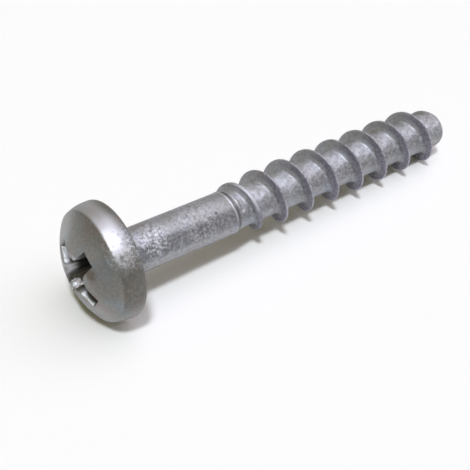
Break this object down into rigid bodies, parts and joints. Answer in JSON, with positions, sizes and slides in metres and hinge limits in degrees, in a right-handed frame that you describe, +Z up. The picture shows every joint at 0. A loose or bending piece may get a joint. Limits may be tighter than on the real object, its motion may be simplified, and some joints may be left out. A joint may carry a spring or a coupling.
{
  "type": "self-tapping screw",
  "caption": "Pan-head self-tapping screw with a cross recess, a plain shank and a coarse, widely spaced thread that presses its own way into a plastic boss, ending in a blunt tip.",
  "frame": {"origin": "on the ground below the middle of the screw's outer box, with the screw lying at rest on its head rim and on a thread crest near the tip", "axes": "+X runs along the screw from head to tip, level on the ground; the screw's own axis dips about four degrees towards the tip; +Z is up"},
  "size_m": [0.0318, 0.008, 0.0079],
  "materials": {
    "zinc_flake_steel": "matt grey zinc-flake coating, slightly mottled and speckled"
  },
  "bodies": {
    "root": {"self_tapping_screw": "zinc_flake_steel"}
  },
  "joints": []
}
